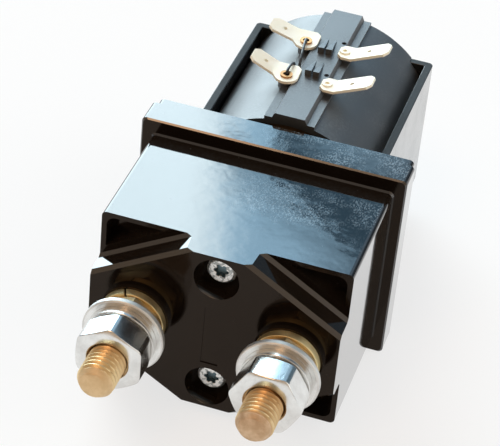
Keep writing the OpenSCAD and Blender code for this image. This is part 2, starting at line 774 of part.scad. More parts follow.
// Hexagon nut with both ends chamfered and its bore countersunk, turned by angle
module hex_nut(y, t, flats, angle) difference() {
    corner_r = flats / 2 / cos(30);
    face_r = flats / 2 - 0.3;
    chamfer = 1;
    wide_r = face_r + 2 * chamfer;
    sink_r = stud_shank_r + nut_sink + through;
    intersection() {
        slab(y, t) rotate(angle) circle(r = corner_r, $fn = 6);
        union() {
            rod(y + chamfer, t - 2 * chamfer, wide_r);
            taper(y, chamfer, face_r, wide_r);
            taper(y + t - chamfer, chamfer, wide_r, face_r);
        }
    }
    rod(y - through, t + 2 * through, stud_shank_r);
    taper(y - through, nut_sink + through, sink_r, stud_shank_r);
    taper(y + t - nut_sink, nut_sink + through, stud_shank_r, sink_r);
}

module half_nut(side) color([0.78, 0.62, 0.38]) at_stud(side)
    hex_nut(half_nut_y, half_nut_t, half_nut_flats, side < 0 ? 22 : 30);

module stud_nut(side) color([0.8, 0.81, 0.82]) at_stud(side)
    hex_nut(stud_nut_y, stud_nut_t, nut_flats, side < 0 ? 30 : 0);

module cover_screw(side) color([0.8, 0.8, 0.8]) at_screw(side) difference() {
    head_y = screw_recess_depth - screw_head_t;
    union() {
        taper(head_y, 0.6, screw_head_r - 0.7, screw_head_r);
        rod(head_y + 0.6, screw_head_t - 0.6, screw_head_r);
        rod(screw_recess_depth, spigot_y + insert_len - screw_recess_depth, screw_r);
    }
    drive_recess(head_y, 1, drive_depth);
}

// Strip of the blades' width from x = 0 to len, with its far corners clipped
module tab_2d(len) polygon([
    [0, -blade_w / 2], [len - blade_clip, -blade_w / 2], [len, -blade_w / 2 + blade_clip],
    [len, blade_w / 2 - blade_clip], [len - blade_clip, blade_w / 2], [0, blade_w / 2]
]);

// Terminal: a flat base with an eye at x = hole_x, and a blade with a small dent, bent up behind it by offset
module terminal(side, y, bend, len, angle, hole_x, eye, offset) color([0.86, 0.76, 0.52])
    mirror([side < 0 ? 1 : 0, 0, 0]) translate([0, y, band_z]) difference() {
        union() {
            linear_extrude(height = blade_t) hull() {
                translate([bend, offset]) mirror([1, 0]) tab_2d(bend - blade_start_x);
                translate([hole_x, 0]) circle(r = eye);
            }
            translate([bend, offset, 0]) rotate([0, -angle, 0]) linear_extrude(height = blade_t) difference() {
                tab_2d(len);
                translate([len * 0.45, 0]) circle(r = 0.6);
            }
        }
        translate([hole_x, 0, -through]) cylinder(h = blade_t + 2 * through, r = eyelet_shank_r);
    }

module left_terminal(y, angle)
    terminal(-1, y, left_bend_x, left_blade_len, angle, left_eyelet_x, eye_r, left_blade_offset);

module right_terminal(y) terminal(1, y, bend_x, blade_len, blade_angle, right_rivet_x, 1.5, 0);

// Hollow eyelet that clamps a left terminal and takes the lead
module eyelet(y) color([0.74, 0.5, 0.26]) translate([-left_eyelet_x, y, 0]) difference() {
    union() {
        translate([0, 0, band_z + blade_t]) cylinder(h = 0.5, r = eyelet_r);
        translate([0, 0, eyelet_foot_z]) cylinder(h = band_z + blade_t - eyelet_foot_z, r = eyelet_shank_r);
    }
    translate([0, 0, eyelet_floor_z]) cylinder(h = blade_t + 2 * through, r = eyelet_shank_r - 0.3);
}

module rivet(y) color([0.86, 0.76, 0.52]) translate([right_rivet_x, y, 0]) difference() {
    union() {
        translate([0, 0, band_z + blade_t]) cylinder(h = 0.35, r = eyelet_r - 0.2);
        translate([0, 0, eyelet_foot_z]) cylinder(h = band_z + blade_t - eyelet_foot_z, r = eyelet_shank_r);
    }
    translate([0, 0, band_z + blade_t - 0.1]) cylinder(h = through, r = eyelet_shank_r / 2);
}

function arch(p, q, t) = let (u = 1 - t) [
    3 * u * t * t + t * t * t,
    u * u * u * p[0] + 3 * u * u * t * p[1] + 3 * u * t * t * q[1] + t * t * t * q[0]
];

// Route of a coil lead: how far across to its eyelet, and its height
function lead_route(start_z, end_z) = concat(
    [[0, start_z]],
    [for (i = [0 : 8]) arch([band_z - 0.8, band_z + 2.4], [band_z + blade_t + 0.6, band_z + 3], i / 8)],
    [[1, end_z]]
);

// Round wire along a route in the upright plane through two points
module wire(route, from, to, r) {
    sides = 8;
    n = len(route);
    across = to - from;
    reach = norm(across);
    side = [-across[1], across[0]] / reach;
    at = [for (p = route) [p[0] * reach, p[1]]];
    way = [for (i = [0 : n - 1])
        let (d = at[min(i + 1, n - 1)] - at[max(i - 1, 0)]) d / norm(d)];
    points = [
        for (i = [0 : n - 1]) for (j = [0 : sides - 1])
        let (
            c = r * cos(360 * j / sides),
            s = r * sin(360 * j / sides),
            along = at[i][0] - s * way[i][1],
            up = at[i][1] + s * way[i][0]
        ) [from[0] + along * across[0] / reach + c * side[0], from[1] + along * across[1] / reach + c * side[1], up]
    ];
    faces = concat(
        [[for (j = [sides - 1 : -1 : 0]) j]],
        [for (i = [0 : n - 2]) for (j = [0 : sides - 1])
            let (k = (j + 1) % sides) [i * sides + j, i * sides + k, (i + 1) * sides + k, (i + 1) * sides + j]],
        [[for (j = [0 : sides - 1]) (n - 1) * sides + j]]
    );
    polyhedron(points = points, faces = faces, convexity = 4);
}

// Coil lead from its hole in the moulding over to the eyelet at y
module lead(y, s) color([0.1, 0.1, 0.11]) wire(
    lead_route(band_foot_z - 2, eyelet_floor_z),
    [s * lead_exit_gap - lead_exit_x, lead_exit_y],
    [-left_eyelet_x, y],
    lead_r
);

lay() contact_cover();
lay() base_plate();
lay() screw_insert(1);  // screw_insert_upper
lay() screw_insert(-1);  // screw_insert_lower
lay() frame_screw(-1);  // frame_screw_left
lay() frame_screw(1);  // frame_screw_right
lay() pole_plate();
lay() pole_core();
lay() magnet_yoke();
lay() coil_bobbin();
lay() coil_winding();
lay() coil_moulding();
lay() coil_end_washer();
lay() guide_tube();
lay() end_buffer();
lay() plunger();
lay() push_rod();
lay() return_spring();
lay() rod_clip(front_clip_y);  // rod_clip_front
lay() rod_clip(rear_clip_y);  // rod_clip_rear
lay() spring_seat();
lay() contact_spring();
lay() bridge_washer();
lay() bridge_bush();
lay() contact_bridge();
lay() moving_tip(-1);  // moving_tip_left
lay() moving_tip(1);  // moving_tip_right
lay() stud(-1);  // stud_left
lay() stud(1);  // stud_right
lay() fixed_tip(-1);  // fixed_tip_left
lay() fixed_tip(1);  // fixed_tip_right
lay() split_washer(-1);  // split_washer_left
lay() split_washer(1);  // split_washer_right
lay() half_nut(-1);  // half_nut_left
lay() half_nut(1);  // half_nut_right
lay() plain_washer(-1);  // plain_washer_left
lay() plain_washer(1);  // plain_washer_right
lay() spring_washer(-1);  // spring_washer_left
lay() spring_washer(1);  // spring_washer_right
lay() stud_nut(-1);  // stud_nut_left
lay() stud_nut(1);  // stud_nut_right
lay() cover_screw(1);  // cover_screw_upper
lay() cover_screw(-1);  // cover_screw_lower
lay() left_terminal(near_y, blade_angle);  // terminal_left_near
lay() left_terminal(far_y, far_left_angle);  // terminal_left_far
lay() right_terminal(right_near_y);  // terminal_right_near
lay() right_terminal(right_far_y);  // terminal_right_far
lay() eyelet(near_y);  // eyelet_near
lay() eyelet(far_y);  // eyelet_far
lay() rivet(right_near_y);  // rivet_near
lay() rivet(right_far_y);  // rivet_far
lay() lead(near_y, -1);  // lead_near
lay() lead(far_y, 1);  // lead_far
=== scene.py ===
"""A direct-current contactor lying on its flange and coil, dressed for its picture."""

import json
import math

import bmesh
import bpy
import numpy as np
from mathutils import Matrix, Vector


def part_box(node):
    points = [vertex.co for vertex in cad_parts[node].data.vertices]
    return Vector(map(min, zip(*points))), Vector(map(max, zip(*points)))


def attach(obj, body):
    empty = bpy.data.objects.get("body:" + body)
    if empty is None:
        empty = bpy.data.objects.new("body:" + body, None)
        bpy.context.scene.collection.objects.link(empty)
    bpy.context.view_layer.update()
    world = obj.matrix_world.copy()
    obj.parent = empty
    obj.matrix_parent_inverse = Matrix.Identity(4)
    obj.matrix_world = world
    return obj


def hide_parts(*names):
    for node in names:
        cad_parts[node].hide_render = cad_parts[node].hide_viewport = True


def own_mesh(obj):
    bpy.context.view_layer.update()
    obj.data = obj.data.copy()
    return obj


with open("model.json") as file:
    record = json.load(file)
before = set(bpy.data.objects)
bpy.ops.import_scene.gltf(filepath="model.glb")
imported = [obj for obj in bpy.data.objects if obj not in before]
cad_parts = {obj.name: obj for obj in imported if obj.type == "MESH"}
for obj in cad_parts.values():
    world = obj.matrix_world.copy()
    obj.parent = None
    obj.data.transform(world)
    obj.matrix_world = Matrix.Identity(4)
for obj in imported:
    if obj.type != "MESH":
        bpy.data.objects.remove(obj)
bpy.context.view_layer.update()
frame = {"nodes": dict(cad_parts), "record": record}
nodes = frame["nodes"]

MM = 0.001
DEGREES = 180.0 / math.pi
# Places in the frame, in metres: the planes of the cover's front and of its flange's front, the axes of
# the plunger and the studs, the studs' tips, the cover's top, and the face of the cover screws' heads
FACE_Y = -0.0436
FLANGE_Y = FACE_Y + 0.0444
AXIS_Z = 0.02875
STUD_X = 0.0205
STUD_TIP_Y = FACE_Y - 0.0304
COVER_TOP_Z = AXIS_Z + 0.0244
SCREW_HEAD_Y = FACE_Y + 0.0038
# Edges that turn by more than this stay sharp, and are the ones that get rounded off
SHARP_EDGE = math.radians(28.0)


class Value:
    """A number that changes over a surface or round the room; sums of values add Math nodes."""

    def __init__(self, shading, socket):
        self.shading = shading
        self.socket = socket

    def __add__(self, other):
        return self.shading.math("ADD", self, other)

    def __radd__(self, other):
        return self.shading.math("ADD", other, self)

    def __sub__(self, other):
        return self.shading.math("SUBTRACT", self, other)

    def __rsub__(self, other):
        return self.shading.math("SUBTRACT", other, self)

    def __mul__(self, other):
        return self.shading.math("MULTIPLY", self, other)

    def __rmul__(self, other):
        return self.shading.math("MULTIPLY", other, self)

    def __pow__(self, other):
        return self.shading.math("POWER", self, other)

    def __neg__(self):
        return self.shading.math("MULTIPLY", self, -1.0)

    def size(self):
        return self.shading.math("ABSOLUTE", self)

    def most(self, other):
        return self.shading.math("MAXIMUM", self, other)

    def step(self, low, high):
        """0 below low, 1 above high and a smooth step between; turned round where low is above high."""
        if low > high:
            return 1.0 - self.step(high, low)
        settings = {"interpolation_type": "SMOOTHSTEP"}
        return self.shading.value("ShaderNodeMapRange", settings, Value=self, From_Min=low, From_Max=high)

    def band(self, start, full, fading, end):
        """0 up to start, 1 from full to fading, 0 from end on, and smooth steps between."""
        return self.step(start, full) * self.step(end, fading)


class Shading:
    """A node tree under construction, for a finish or for the room."""

    def __init__(self, tree):
        self.tree = tree

    def fill(self, socket, value):
        """Links a Value or a socket to this one, or sets a plain number, colour or vector."""
        if isinstance(value, Value):
            self.tree.links.new(value.socket, socket)
        elif isinstance(value, bpy.types.NodeSocket):
            self.tree.links.new(value, socket)
        elif isinstance(value, tuple) and len(value) == 3 and socket.type == "RGBA":
            socket.default_value = (*value, 1.0)
        else:
            socket.default_value = value

    def node(self, kind, settings=None, out=0, **sockets):
        """A new node: its settings first, then the values or links of its sockets. Gives one output."""
        node = self.tree.nodes.new(kind)
        for key, value in (settings or {}).items():
            setattr(node, key, value)
        for name, value in sockets.items():
            self.fill(node.inputs[name.replace("_", " ")], value)
        return node.outputs[out]

    def value(self, *args, **kwargs):
        """The same, as a Value for sums."""
        return Value(self, self.node(*args, **kwargs))

    def math(self, operation, *terms):
        """The Math node of that operation on these terms, each a Value or a plain number."""
        result = self.value("ShaderNodeMath", {"operation": operation})
        for socket, term in zip(result.socket.node.inputs, terms):
            self.fill(socket, term)
        return result

    def parts(self, vector):
        """The x, y and z of a vector as three Values."""
        split = self.node("ShaderNodeSeparateXYZ", Vector=vector).node
        return [Value(self, out) for out in split.outputs]

    def mix(self, factor, first, second):
        """Colour that goes from first to second as factor goes from 0 to 1."""
        node = self.node("ShaderNodeMix", {"data_type": "RGBA"}).node
        # The sockets before these are for mixed numbers and vectors
        self.fill(node.inputs[0], factor)
        self.fill(node.inputs[6], first)
        self.fill(node.inputs[7], second)
        return node.outputs[2]


class Finish(Shading):
    """A material under construction, with the patterns that the finishes share."""

    def __init__(self, name, **fixed):
        self.material = bpy.data.materials.new(name)
        self.material.use_nodes = True
        super().__init__(self.material.node_tree)
        self.shader = self.tree.nodes["Principled BSDF"]
        coordinates = self.tree.nodes.new("ShaderNodeTexCoord").outputs
        self.place = coordinates["Object"]
        self.facing = coordinates["Normal"]
        self.put(**fixed)

    def put(self, **sockets):
        """Sets or links sockets of the shader."""
        for name, value in sockets.items():
            self.fill(self.shader.inputs[name.replace("_", " ")], value)

    def blend(self, share, first, second):
        """Gives the material a mix of two shaders, from first to second as share goes from 0 to 1."""
        mixed = self.node("ShaderNodeMixShader", Fac=share)
        self.fill(mixed.node.inputs[1], first)
        self.fill(mixed.node.inputs[2], second)
        self.fill(self.tree.nodes["Material Output"].inputs["Surface"], mixed)

    def second(self, share, **sockets):
        """Mixes in a second shader, as much as share says."""
        base = self.shader
        self.shader = self.tree.nodes.new("ShaderNodeBsdfPrincipled")
        self.put(**sockets)
        self.blend(share, base.outputs[0], self.shader.outputs[0])

    def noise(self, scale, detail=3.0, roughness=0.55, stretch=None, turn=(0.0, 0.0, 0.0), distortion=0.0):
        """Soft noise from 0 to 1, with about scale lumps in a metre, and turned where it is stretched."""
        at = self.place
        if stretch:
            at = self.node("ShaderNodeMapping", Vector=at, Scale=stretch, Rotation=turn)
        return self.value("ShaderNodeTexNoise", Vector=at, Scale=scale, Detail=detail, Roughness=roughness,
                          Distortion=distortion)

    def specks(self, scale, size):
        """Small round specks: 1 inside a speck and 0 elsewhere, in one cell of every few."""
        cells = self.node("ShaderNodeTexVoronoi", Vector=self.place, Scale=scale).node
        middle = Value(self, cells.outputs["Distance"])
        pick = self.parts(cells.outputs["Color"])[0]
        return middle.step(size, size * 0.5) * pick.step(0.6, 0.7)

    def from_stud(self):
        """Distance from the axis of the nearer stud."""
        x, y, z = self.parts(self.place)
        off, up = x.size() - STUD_X, z - AXIS_Z
        return (off * off + up * up) ** 0.5

    def bump(self, height, distance, strength):
        """Normal of a surface raised by height times distance, in metres."""
        return self.node("ShaderNodeBump", Height=height, Distance=distance, Strength=strength)


def cover_plastic(name):
    """Black thermoset, polished. The faces that look forward mirror the room with a painted warm tint, and
    the walls mirror more, most of all the sides. On the outside's top, but for a strip in front of the
    flange, lies a dry film of fine flecks in clouds, whose pale bluish flecks also paint a mottled
    reflection.
    A faint ripple from the mould bends what the polish mirrors. Bevels that look up are duller, and more so
    towards the right."""
    # Specular_Tint paints a warm tint into what the front faces mirror
    f = Finish(name, Specular_IOR_Level=0.25, Specular_Tint=(1.0, 0.76, 0.58))
    dust_tone = (0.24, 0.27, 0.3)
    fleck_and_painted_mottle_tone = (0.2, 0.25, 0.29)
    facing_x, facing_y, facing_z = f.parts(f.facing)
    x, y, z = f.parts(f.place)
    wall = facing_y.step(-0.97, -0.85)
    outer = z.step(COVER_TOP_Z - 0.6 * MM, COVER_TOP_Z - 0.2 * MM) * facing_z.step(0.93, 0.98)
    flange = y.step(FLANGE_Y - 0.3 * MM, FLANGE_Y + 0.2 * MM)
    open_top = y.step(FLANGE_Y - 5.3 * MM, FLANGE_Y - 7.8 * MM).most(flange)
    rear_right = x.step(-10 * MM, 12 * MM) * y.step(FLANGE_Y - 30.8 * MM, FLANGE_Y - 17.8 * MM)
    bevel = facing_y.band(-0.88, -0.8, -0.6, -0.5) * facing_z.step(0.5, 0.6)
    smear = f.noise(150.0, 5.0, 0.62, stretch=(1.0, 0.7, 1.0), turn=(0.0, 0.0, 0.5), distortion=0.5)
    film = f.noise(70.0, 4.0, 0.6).step(0.36, 0.58) * (0.08 + rear_right * 0.92) * open_top
    fine = f.noise(1300.0, 3.0, 0.65)
    flecks = f.noise(2300.0, 3.0, 0.65, stretch=(1.0, 0.6, 1.0), turn=(0.0, 0.0, 0.7)).step(0.45, 0.63)
    dust = f.specks(700.0, 0.13) * f.noise(90.0, 3.0).step(0.4, 0.6) * (0.25 + outer * 0.75)
    haze = smear.step(0.42, 0.7) * (0.3 + film * 0.7)
    front = f.mix(haze, (0.0045, 0.0028, 0.002), (0.007, 0.006, 0.0055))
    f.put(Base_Color=f.mix(dust * 0.3, front, dust_tone))
    f.put(Roughness=0.07 + haze * 0.12 + fine * 0.04)
    f.put(Normal=f.bump(smear * 0.3 + fine * 0.05, 0.05 * MM, 0.5))
    tone = f.mix(haze, (0.0128, 0.0092, 0.0068), (0.0155, 0.0138, 0.013))
    # Painted reflection as well as a dry film: pale bluish flecks on the top, thickest in the film, mottle
    # what the polish mirrors
    tone = f.mix(flecks * (0.03 + film * 0.9) * outer, tone, fleck_and_painted_mottle_tone)
    dull = haze * outer * 0.06 + bevel * (0.1 + x.step(-30 * MM, 34 * MM) * 0.3)
    ripple = f.noise(190.0, 2.0, 0.5) + flecks * film * outer * 0.06 + fine * 0.03
    f.second(wall, IOR=1.9, Coat_Roughness=0.05)
    f.put(Base_Color=f.mix(dust * 0.3, tone, dust_tone))
    f.put(Roughness=0.03 + dull)
    f.put(Coat_Weight=facing_x.size().step(0.9, 0.97))
    f.put(Normal=f.bump(ripple, 0.015 * MM, 1.0))
    return f.material


def plastic(name, tone, roughness, grain, coat=0.5, haze=0.3, dull_top=0.0, coat_ior=1.5):
    """Satin black finish with a fine grain, duller cut edges on top, and a hazy bloom in clouds and a
    little dust where it faces up."""
    f = Finish(name, Coat_Roughness=roughness * 0.7, Coat_IOR=coat_ior, Specular_IOR_Level=0.4)
    facing_z = f.parts(f.facing)[2]
    edge = facing_z.step(0.85, 0.95) * dull_top
    upward = facing_z.step(0.05, 0.5)
    grains = f.noise(grain, 3.0, 0.6)
    cloud = f.noise(110.0, 5.0, 0.62).step(0.38, 0.68)
    dust = f.specks(1700.0, 0.2) * f.noise(90.0, 3.0).step(0.5, 0.62) * upward
    bloom = cloud * grains.step(0.4, 0.7) * (0.2 + upward * 0.8) * haze
    dark = tuple(0.6 * part for part in tone)
    worn = f.mix(bloom, f.mix(cloud, dark, tone), (0.14, 0.15, 0.16))
    f.put(Base_Color=f.mix(dust * 0.35, worn, (0.35, 0.36, 0.37)))
    f.put(Roughness=roughness * 0.85 + cloud * roughness * 0.3 + grains * upward * 0.06 + edge * 0.35)
    f.put(Coat_Weight=(1.0 - edge) * coat)
    f.put(Normal=f.bump((grains * 0.7 + cloud * 0.3) * (0.05 + upward * 0.95), 0.02 * MM, 0.4))
    return f.material


def metal(name, tone, shade, roughness, dents=0.3, tarnish=0.0, plated=False, metallic=1.0):
    """Metal whose tone runs from shade to tone in clouds, with a fine grain, nicks, and dull spots where
    it is tarnished. The plated fasteners also have washers with matt punched rims, and screws with pale
    pitted heads whose sunk drives are darkened with painted shade."""
    f = Finish(name, Metallic=metallic)
    cloud = f.noise(160.0, 4.0, 0.62).step(0.3, 0.7)
    grains = f.noise(1500.0, 3.0, 0.6)
    nicks = f.noise(520.0, 2.0, 0.55).step(0.6, 0.72)
    spots = f.noise(330.0, 4.0, 0.7).step(0.56, 0.68) * tarnish
    mixed = f.mix(cloud * 0.75 + grains * 0.25, shade, tone)
    mixed = f.mix(spots * 0.7, mixed, tuple(0.45 * part for part in shade))
    rough = roughness * 0.7 + grains * roughness * 0.35 + cloud * roughness * 0.25 + spots * 0.25
    if plated:
        x, y, z = f.parts(f.place)
        screw = x.size().step(5.2 * MM, 5.0 * MM)
        pitted = f.noise(900.0, 2.0, 0.6).step(0.5, 0.58) * screw
        sunk = y.step(SCREW_HEAD_Y + 0.15 * MM, SCREW_HEAD_Y + 0.35 * MM)
        # Painted shade: the sunk drives of the screws are coloured a dark blue-grey
        painted_drive_shade = x.size().step(3.2 * MM, 3.0 * MM) * sunk
        mixed = f.mix(screw, mixed, f.mix(pitted * 0.75, (0.97, 0.98, 0.97), (0.3, 0.33, 0.33)))
        mixed = f.mix(painted_drive_shade, mixed, (0.2, 0.28, 0.32))
        rough = rough + f.from_stud().step(10.3 * MM, 10.6 * MM) * 0.35
    height = grains * 0.25 + (1.0 - nicks) * dents + f.noise(240.0, 2.0, 0.5) * dents
    f.put(Base_Color=mixed, Roughness=rough, Normal=f.bump(height, 0.04 * MM, 0.4))
    return f.material


def threaded_brass(name):
    """Brass of the power studs and their thin nuts: bright thread crests and painted shade in the grooves,
    a redder thread near the outer nut, and a matt sawn tip. The left stud's free end is cleaner than the
    right one's."""
    f = Finish(name, Metallic=1.0)
    x, y, z = f.parts(f.place)
    radius = f.from_stud()
    crest = radius.step(4.3 * MM, 4.8 * MM)
    nut = radius.step(5.2 * MM, 5.6 * MM)
    tip = y.step(STUD_TIP_Y + 1.9 * MM, STUD_TIP_Y + 1.3 * MM)
    rear = y.step(STUD_TIP_Y + 3.0 * MM, STUD_TIP_Y + 11.0 * MM)
    clean = x.step(4 * MM, -4 * MM) * (1.0 - nut) * (1.0 - rear * 0.5) * 0.4
    grains = f.noise(1400.0, 3.0, 0.6)
    cloud = f.noise(260.0, 4.0, 0.6).step(0.35, 0.7)
    # Painted shade: the thread's roots take a darker brown than its crests
    thread = f.mix(crest, (0.55, 0.34, 0.17), f.mix(cloud, (0.66, 0.48, 0.25), (0.8, 0.62, 0.36)))
    thread = f.mix(rear * (1.0 - nut) * 0.8, thread, (0.58, 0.34, 0.15))
    worn = f.mix(tip, thread, f.mix(cloud, (0.6, 0.42, 0.26), (0.78, 0.6, 0.42)))
    f.put(Base_Color=f.mix(clean, worn, (0.97, 0.78, 0.44)))
    f.put(Roughness=0.3 + nut * 0.12 + (1.0 - crest) * 0.12 + grains * 0.12 + tip * 0.2)
    f.put(Normal=f.bump(grains * 0.5 + cloud * 0.3, 0.04 * MM, 0.4))
    return f.material


FINISHES = {
    "cover_plastic": cover_plastic("cover_plastic"),
    "base_plastic": cover_plastic("base_plastic"),
    "coil_plastic": plastic("coil_plastic", (0.024, 0.028, 0.033), 0.65, 1600.0, 1.0, 0.4, coat_ior=1.8),
    "bobbin_plastic": plastic("bobbin_plastic", (0.02, 0.02, 0.02), 0.5, 1500.0),
    "yoke_paint": plastic("yoke_paint", (0.012, 0.013, 0.014), 0.24, 1100.0, 1.0, 0.1, dull_top=1.0),
    "passivated_steel": metal("passivated_steel", (0.6, 0.54, 0.33), (0.5, 0.47, 0.38), 0.35),
    "bare_steel": metal("bare_steel", (0.56, 0.56, 0.57), (0.44, 0.44, 0.45), 0.3),
    "zinc_steel": metal("zinc_steel", (0.84, 0.84, 0.82), (0.64, 0.63, 0.61), 0.2, 0.5, plated=True),
    "dark_steel": metal("dark_steel", (0.2, 0.2, 0.2), (0.12, 0.12, 0.12), 0.35),
    "spring_steel": metal("spring_steel", (0.62, 0.62, 0.62), (0.5, 0.5, 0.5), 0.28),
    "silver": metal("silver", (0.85, 0.85, 0.83), (0.7, 0.7, 0.68), 0.3),
    "copper": metal("copper", (0.75, 0.42, 0.28), (0.6, 0.32, 0.2), 0.3),
    "brass": metal("brass", (0.8, 0.62, 0.32), (0.68, 0.5, 0.26), 0.28),
    "stud_brass": threaded_brass("stud_brass"),
    "bronze": metal("bronze", (0.97, 0.84, 0.5), (0.85, 0.68, 0.36), 0.5, tarnish=0.3),
    "terminal_brass": metal("terminal_brass", (0.98, 0.94, 0.83), (0.96, 0.89, 0.71), 0.5, metallic=0.1),
    "eyelet_copper": metal("eyelet_copper", (0.62, 0.34, 0.14), (0.32, 0.14, 0.055), 0.32, tarnish=0.5),
    "brown_fibre": plastic("brown_fibre", (0.13, 0.075, 0.035), 0.6, 900.0, coat=0.0),
    "buffer_rubber": plastic("buffer_rubber", (0.02, 0.02, 0.02), 0.7, 900.0, coat=0.0),
    "lead_insulation": plastic("lead_insulation", (0.015, 0.015, 0.016), 0.4, 1500.0),
}
BODIES = frame["record"]["behaviour"]["bodies"]
BODY_OF = {node: body for body, members in BODIES.items() for node in members}
SLOT_OF = {entry["node"]: entry["material_slot"] for entry in frame["record"]["subparts"]}
for name, slot in SLOT_OF.items():
    nodes[name].data.materials.clear()
    nodes[name].data.materials.append(FINISHES[slot])


def piece(name, mesh, body, slot, *stands_for):
    """Puts a finished mesh in the scene on its body, in place of the nodes that it stands for."""
    obj = bpy.data.objects.new(name, mesh)
    bpy.context.scene.collection.objects.link(obj)
    mesh.materials.clear()
    mesh.materials.append(FINISHES[slot])
    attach(obj, body)
    if stands_for:
        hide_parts(*stands_for)
    return obj


def smooth(mesh, sharp=None):
    """Shades a mesh smoothly, but for edges that turn by more than sharp, in radians, where it is given."""
    mesh.polygons.foreach_set("use_smooth", np.ones(len(mesh.polygons), bool))
    if sharp is not None:
        mesh.set_sharp_from_angle(angle=sharp)
    return mesh


def edges(obj, width):
    """Rounds the sharp edges of a piece off by width, and keeps its flats flat."""
    bevel = obj.modifiers.new("edges", "BEVEL")
    bevel.width = width
    bevel.segments = 2
    bevel.limit_method = "ANGLE"
    bevel.angle_limit = SHARP_EDGE
    bevel.use_clamp_overlap = True
    level = obj.modifiers.new("flats", "WEIGHTED_NORMAL")
    level.keep_sharp = True
    return obj


def rounded(name, width):
    """A merged copy of a CAD node whose sharp edges are rounded off by width."""
    mesh = nodes[name].data.copy()
    work = bmesh.new()
    work.from_mesh(mesh)
    bmesh.ops.remove_doubles(work, verts=work.verts, dist=0.001 * MM)
    bmesh.ops.dissolve_limit(work, angle_limit=math.radians(0.6), verts=work.verts, edges=work.edges)
    work.to_mesh(mesh)
    work.free()
    smooth(mesh, SHARP_EDGE)
    return edges(piece("round_" + name, mesh, BODY_OF[name], SLOT_OF[name], name), width)


ROUNDED_EDGES = {
    "contact_cover": 0.28,
    "base_plate": 0.3,
    "magnet_yoke": 0.2,
    "coil_moulding": 0.3,
    "half_nut_left": 0.15,
    "half_nut_right": 0.15,
    "plain_washer_left": 0.4,
    "plain_washer_right": 0.4,
    "spring_washer_left": 0.15,
    "spring_washer_right": 0.15,
    "split_washer_left": 0.15,
    "split_washer_right": 0.15,
    "cover_screw_upper": 0.15,
    "cover_screw_lower": 0.15,
    "terminal_left_near": 0.12,
    "terminal_left_far": 0.12,
    "terminal_right_near": 0.12,
    "terminal_right_far": 0.12,
}
for name, width in ROUNDED_EDGES.items():
    rounded(name, width * MM)


def surface(name, points, faces):
    """A smooth mesh of these points and faces."""
    mesh = bpy.data.meshes.new(name)
    mesh.from_pydata(points.tolist(), [], faces)
    return smooth(mesh)


def lathe(rows, across, angle, bored=False):
    """Surface of rings round an axis along y: each row is (y, radius), numbers or arrays over the rings'
    angles. across gives x and z of the axis. The last row joins the first where it is bored, and both
    close on a point else."""
    turns = len(angle)
    y = np.array([np.broadcast_to(row[0], turns) for row in rows])
    r = np.array([np.broadcast_to(row[1], turns) for row in rows])
    ring = np.stack([across[0] + r * np.sin(angle), y, across[1] + r * np.cos(angle)], -1)
    points = ring.reshape(-1, 3)
    i, j = np.meshgrid(np.arange(len(rows) if bored else len(rows) - 1), np.arange(turns), indexing="ij")
    k = (j + 1) % turns
    n = (i + 1) % len(rows)
    corners = [i * turns + j, i * turns + k, n * turns + k, n * turns + j]
    faces = np.stack(corners, -1).reshape(-1, 4).tolist()
    if not bored:
        middle = [[across[0], y[0, 0], across[1]], [across[0], y[-1, 0], across[1]]]
        first, last = len(points), len(points) + 1
        points = np.concatenate([points, middle])
        j = np.arange(turns)
        k = (j + 1) % turns
        rear = (len(rows) - 1) * turns
        faces += np.stack([np.full(turns, first), k, j], -1).tolist()
        faces += np.stack([np.full(turns, last), rear + j, rear + k], -1).tolist()
    return surface("lathe", points, faces)


def thread_radius(y, angle, crest, root, pitch):
    """Radius of a screw thread: a wave of flat crests and rounded roots that climbs one pitch in a turn."""
    phase = (y / pitch - angle / (2 * np.pi)) % 1.0
    wave = 1.0 - 2.0 * np.abs(phase - 0.5)
    return root + (crest - root) * np.clip(wave * 1.35 - 0.12, 0.0, 1.0)


def stud_mesh(side, start):
    """Power stud: rings with a thread on the free end, which a cone cuts at the tip, then a plain shank
    and a head with two flats, whose radius is the smaller of a circle's and of two lines'. start shifts
    the thread along the stud."""
    angle = np.linspace(0.0, 2 * np.pi, 96, endpoint=False)
    tip, plain, head, rear = -30.4 * MM, -19.8 * MM, 16.0 * MM, 19.5 * MM
    step = 0.12 * MM
    tip_r, cone_r, shank_r = 3.3 * MM, 3.5 * MM, 4.75 * MM
    along = np.arange(tip + 0.2 * MM, plain, step)[:, None]
    cone = cone_r + 0.75 * (along - tip)
    thread = np.minimum(thread_radius(along + start, angle, 4.95 * MM, 4.35 * MM, 1.5 * MM), cone)
    head_r = np.minimum(8.5 * MM, 7.0 * MM / np.maximum(np.abs(np.cos(angle)), 1e-6))
    rows = [(tip, tip_r), (tip + step, cone_r), *zip(along[:, 0], thread)]
    rows += [(plain, shank_r), (head, shank_r), (head, head_r), (rear, head_r)]
    rows = [(FACE_Y + y, r) for y, r in rows]
    return smooth(lathe(rows, (side * STUD_X, AXIS_Z), angle), math.radians(40.0))


piece("threaded_stud_left", stud_mesh(-1, 0.0), "frame", "stud_brass", "stud_left")
piece("threaded_stud_right", stud_mesh(1, 0.6 * MM), "frame", "stud_brass", "stud_right")


